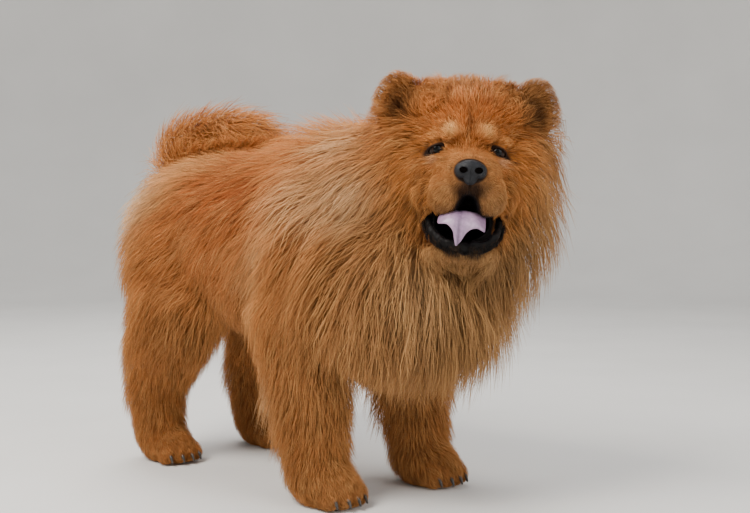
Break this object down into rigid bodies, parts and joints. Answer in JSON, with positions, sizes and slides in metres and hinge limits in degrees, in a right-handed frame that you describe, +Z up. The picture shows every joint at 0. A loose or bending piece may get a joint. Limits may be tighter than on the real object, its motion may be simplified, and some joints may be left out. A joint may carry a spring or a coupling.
{
  "type": "chow chow dog",
  "caption": "Standing chow chow with a lion-like ruff, curled tail, upright ears and open mouth, its head turned to its right, as a still life-size model.",
  "frame": {"origin": "on the ground under the middle of the dog's box", "axes": "+Z up, -Y the way the body faces (the head is turned towards -X), +X the dog's left"},
  "size_m": [0.4074, 0.8586, 0.625],
  "materials": {
    "coat": "long soft red-gold hair, matte",
    "lip": "black moist skin",
    "tongue": "moist blue-mauve skin",
    "nose": "slate-black pebbled skin, slight sheen",
    "eye": "wet and glossy dark brown"
  },
  "bodies": {
    "root": {"head": "coat", "neck": "coat", "torso_front": "coat", "torso_rear": "coat", "foreleg_left": "coat", "foreleg_right": "coat", "hindleg_left": "coat", "hindleg_right": "coat", "tail": "coat", "ear_left": "coat", "ear_right": "coat", "lower_jaw": "lip", "tongue": "tongue", "nose": "nose", "eye_left": "eye", "eye_right": "eye"}
  },
  "joints": []
}
